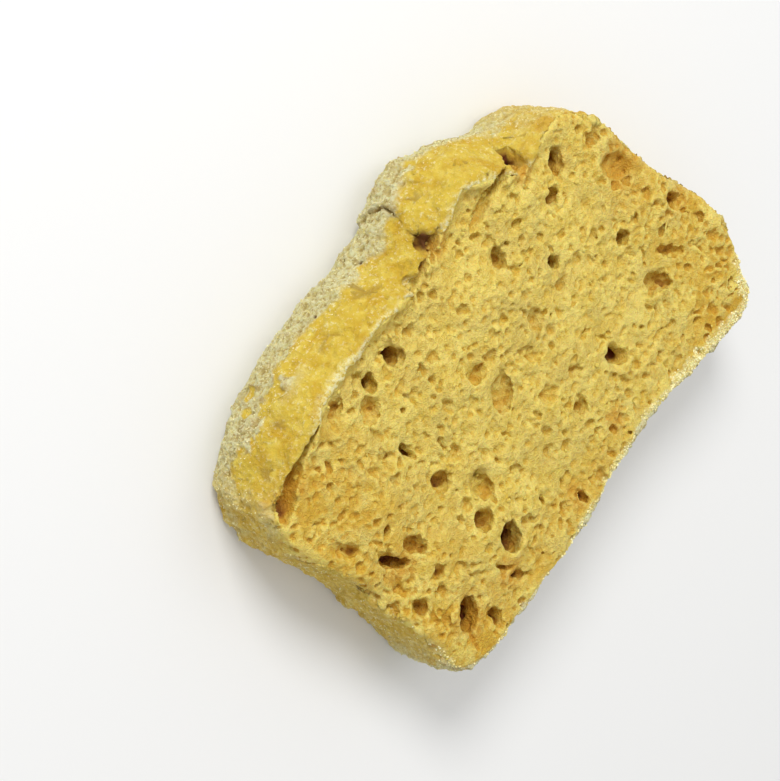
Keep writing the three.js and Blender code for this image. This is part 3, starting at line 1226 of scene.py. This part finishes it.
def crustFinish():
    f, c = Finish("flouredCrust"), crustColours
    z = f.along("Z")
    flour, dome, inset, ridge = (f.attribute(name) for name in ("flour", "dome", "inset", "ridge"))
    mottle = f.cloud(5, 4, 0.62, 0.4).over(0.38, 0.66)
    base = f.blend(mottle, c["gold"], c["amber"])
    base = f.blend(f.cloud(2.2, 4, 0.65).over(0.46, 0.66) * 0.7, base, c["honey"])
    base = f.blend(f.cloud(1.1, 3, 0.7).over(0.56, 0.72) * 0.5, base, c["brown"])
    skin = (1 - dome).over(0.3, 0.8)
    streaks = f.cloud(2.2, 4, 0.65, 0.6, f.stretched((1.0, 0.4, 2.2)))
    skinColour = f.blend(streaks.over(0.42, 0.62) * 0.5, c["skin"], c["brown"])
    skinColour = f.blend(f.cloud(4, 4, 0.7, 0.5).over(0.44, 0.6) * 0.6, skinColour, c["amber"])
    skinColour = f.blend(f.cloud(1.3, 4, 0.7).over(0.5, 0.64) * 0.6, skinColour, crumbColours["pale"])
    base = f.blend(skin, base, skinColour)
    rimColour = f.blend(f.cloud(3, 3, 0.6).over(0.42, 0.62), crumbColours["gold"], crumbColours["pale"])
    rimColour = f.blend(f.cloud(4.5, 3, 0.6).over(0.50, 0.64) * 0.7, rimColour, crumbColours["hollow"])
    # painted shade in the folds of the rim
    rimColour = f.blend((0 - ridge).over(0.03, 0.25) * 0.7, rimColour, crumbColours["hollow"])
    base = f.blend(f.attribute("rim"), base, rimColour)
    flecks = f.cloud(0.75, 3, 0.7).over(0.54, 0.66)
    dusting = 0.25 + f.cloud(6, 2).over(0.4, 0.6) * 0.5 + (1 - z.over(12 * mm, 19 * mm)) * 0.6
    base = f.blend(flecks * 0.6 * dusting, base, c["flourTop"])
    grains = f.cloud(0.7, 4, 0.75).over(0.40, 0.60)
    # the flour is paler on the crests: partly flour lying there, partly painted highlight
    flourColour = f.blend(grains * 0.9 + ridge.over(0.0, 0.2) * 0.5, c["flour"], c["flourTop"])
    flourColour = f.blend(f.cloud(3.5, 3, 0.6).over(0.5, 0.66) * 0.45, flourColour, c["bareAndShade"])
    flourColour = f.blend(f.cloud(1.2, 4, 0.75).over(0.52, 0.64) * 0.8, flourColour, c["bareAndShade"])
    # the folds of the flour take the bare colour: partly bare crust, partly painted shade
    flourColour = f.blend((0 - ridge).over(0.02, 0.16) * 0.6, flourColour, c["bareAndShade"])
    base = f.blend(flour * 1.15, base, flourColour)
    lip = dome * inset.over(4.6, 5.8)
    lipColour = f.blend(grains, crumbColours["pale"], c["flourTop"])
    base = f.blend(lip * f.cloud(1.1, 4, 0.7).over(0.36, 0.52) * 0.85, base, lipColour)
    # painted shade: the folds of the crust are made browner
    base = f.blend((0 - ridge).over(0.08, 0.35) * 0.6, base, c["brown"])
    # painted shade in the crust's hollows and crevices, darker the deeper
    hollow = f.attribute("hollow")
    base = f.blend(hollow.over(0.5, 1.5) * 0.85, base, crumbColours["toasted"])
    base = f.blend(hollow.over(1.3, 3.0), base, crumbColours["deepShade"])
    # painted shade: the notch, the small pits and the tear are made dark
    base = f.blend(f.attribute("pitShade"), base, c["dark"])
    f.set("Base Color", base)
    grain = f.cloud(0.55, 4, 0.75) * (0.6 + 0.8 * flour) + f.cloud(1.5, 4, 0.7) * 1.1
    f.set("Normal", f.bump(grain, 0.8 * mm, 1.0))
    f.set("Roughness", 0.70 + flour * 0.2)
    f.set("Subsurface Weight", 0.05)
    f.set("Subsurface Scale", 0.8 * mm)
    f.set("Specular IOR Level", 0.22)
    return f.material


def makeCrust():
    s = crustSizes
    crust = copyOf(smoothBody, "crust")
    crustCore = coreBlock(stations, "crustCore", 0)
    carve(crust, crustCore)
    carve(crust, creviceCloud)
    carve(crust, faceHoles)
    remesh(crust, s["voxel"])
    shapeCrust(crust)
    print("crust shaped:", triangleCount(crust), "triangles")
    height = faceHeights(crust.data)
    corner = [face.vertices[0] for face in crust.data.polygons]
    inner = readValue(crust, "inset")[corner] > s["hiddenInset"]
    between = (height < s["hiddenTo"]) & (height > s["hiddenFrom"])
    thinHidden(crust, inner & between, s["hiddenShare"])
    thinTo(crust, s["triangles"])
    markHollows(crust, smoothBody)
    markRidges(crust, 10)
    finishMesh(crust, crustFinish())
    discard(crustCore)
    return crust


crust = makeCrust()

grainSizes = {
    "count": 3600,
    "radius": (0.08 * mm, 0.19 * mm),
    "rimCount": 1100,
    "rimRadius": (0.12 * mm, 0.32 * mm),
    "crumbs": 170,
    "crumbRadius": (0.18 * mm, 0.6 * mm),
}


def grainSpots(thing, weight, count, radii, seed):
    # points of the piece picked by weight, with their normals and a radius for each
    points, normals = readPoints(thing.data), readNormals(thing.data)
    picks = np.random.default_rng(seed).choice(len(points), count, p=weight / weight.sum())
    return [(points[i], normals[i], random.uniform(*radii)) for i in picks]


def makeGrains():
    # loose flour grains, thickest where the flour is
    s = grainSizes
    shown = (readPoints(crust.data)[:, 2] > 1 * mm) * (readValue(crust, "inset") < 1.2)
    weight = (readValue(crust, "flour") + 0.12) * shown
    spots = grainSpots(crust, weight, s["count"], s["radius"], 3)
    spots += grainSpots(crumb, readValue(crumb, "dust"), s["rimCount"], s["rimRadius"], 4)
    places = []
    for point, normal, radius in spots:
        middle = Vector(point + normal * radius * 0.2)
        radii = (radius * random.uniform(0.8, 1.4), radius, radius * 0.8)
        places.append((middle, radii, randomTurn()))
    grains = joinedBalls("flourGrains", unitBall(1), places)
    f, c = Finish("flourGrain"), crustColours
    f.set("Base Color", f.blend(f.cloud(2.5, 2).over(0.35, 0.65), c["flour"], c["flourTop"]))
    f.set("Roughness", 0.9)
    finishMesh(grains, f.material)


makeGrains()


def makeLooseCrumbs():
    # broken bits lying on the face and along the curled lip
    bpy.ops.mesh.primitive_ico_sphere_add(subdivisions=2, radius=1)
    model = bpy.context.object
    roughen(model, 0.9, 0.9)
    faces = np.array([tuple(face.vertices) for face in model.data.polygons])
    shape = (readPoints(model.data).copy(), faces)
    discard(model)
    face = Face(crumb, 1)
    places = []
    for i in range(grainSizes["crumbs"]):
        x, y = random.uniform(frameLow.x, frameHigh.x), random.uniform(frameLow.y, frameHigh.y)
        if i % 3 == 0:  # every third one in the open crevices
            (fromX, fromY), (toX, toY), _, _ = random.choice(crevices)
            share = random.random()
            x = (fromX + (toX - fromX) * share + random.gauss(0, 0.6)) * mm
            y = (fromY + (toY - fromY) * share + random.gauss(0, 0.6)) * mm
        height = face.height(x, y)
        if height is None or height < 16.5 * mm:
            continue
        radius = random.uniform(*grainSizes["crumbRadius"])
        radii = (radius * random.uniform(0.9, 1.4), radius, radius * random.uniform(0.6, 0.9))
        places.append((Vector((x, y, height + radius * 0.3)), radii, randomTurn()))
    crumbs = joinedBalls("looseCrumbs", shape, places)
    # the depth below the face paints shade on those in the crevices, and a fixed crest value gives them the
    # crumb's painted highlight
    markHollows(crumbs, smoothBody)
    storeValue(crumbs, "ridge", np.full(len(crumbs.data.vertices), 0.12))
    finishMesh(crumbs, crumbMaterial)


makeLooseCrumbs()
discard(smoothBody, crumbCore, creviceCloud, faceHoles)
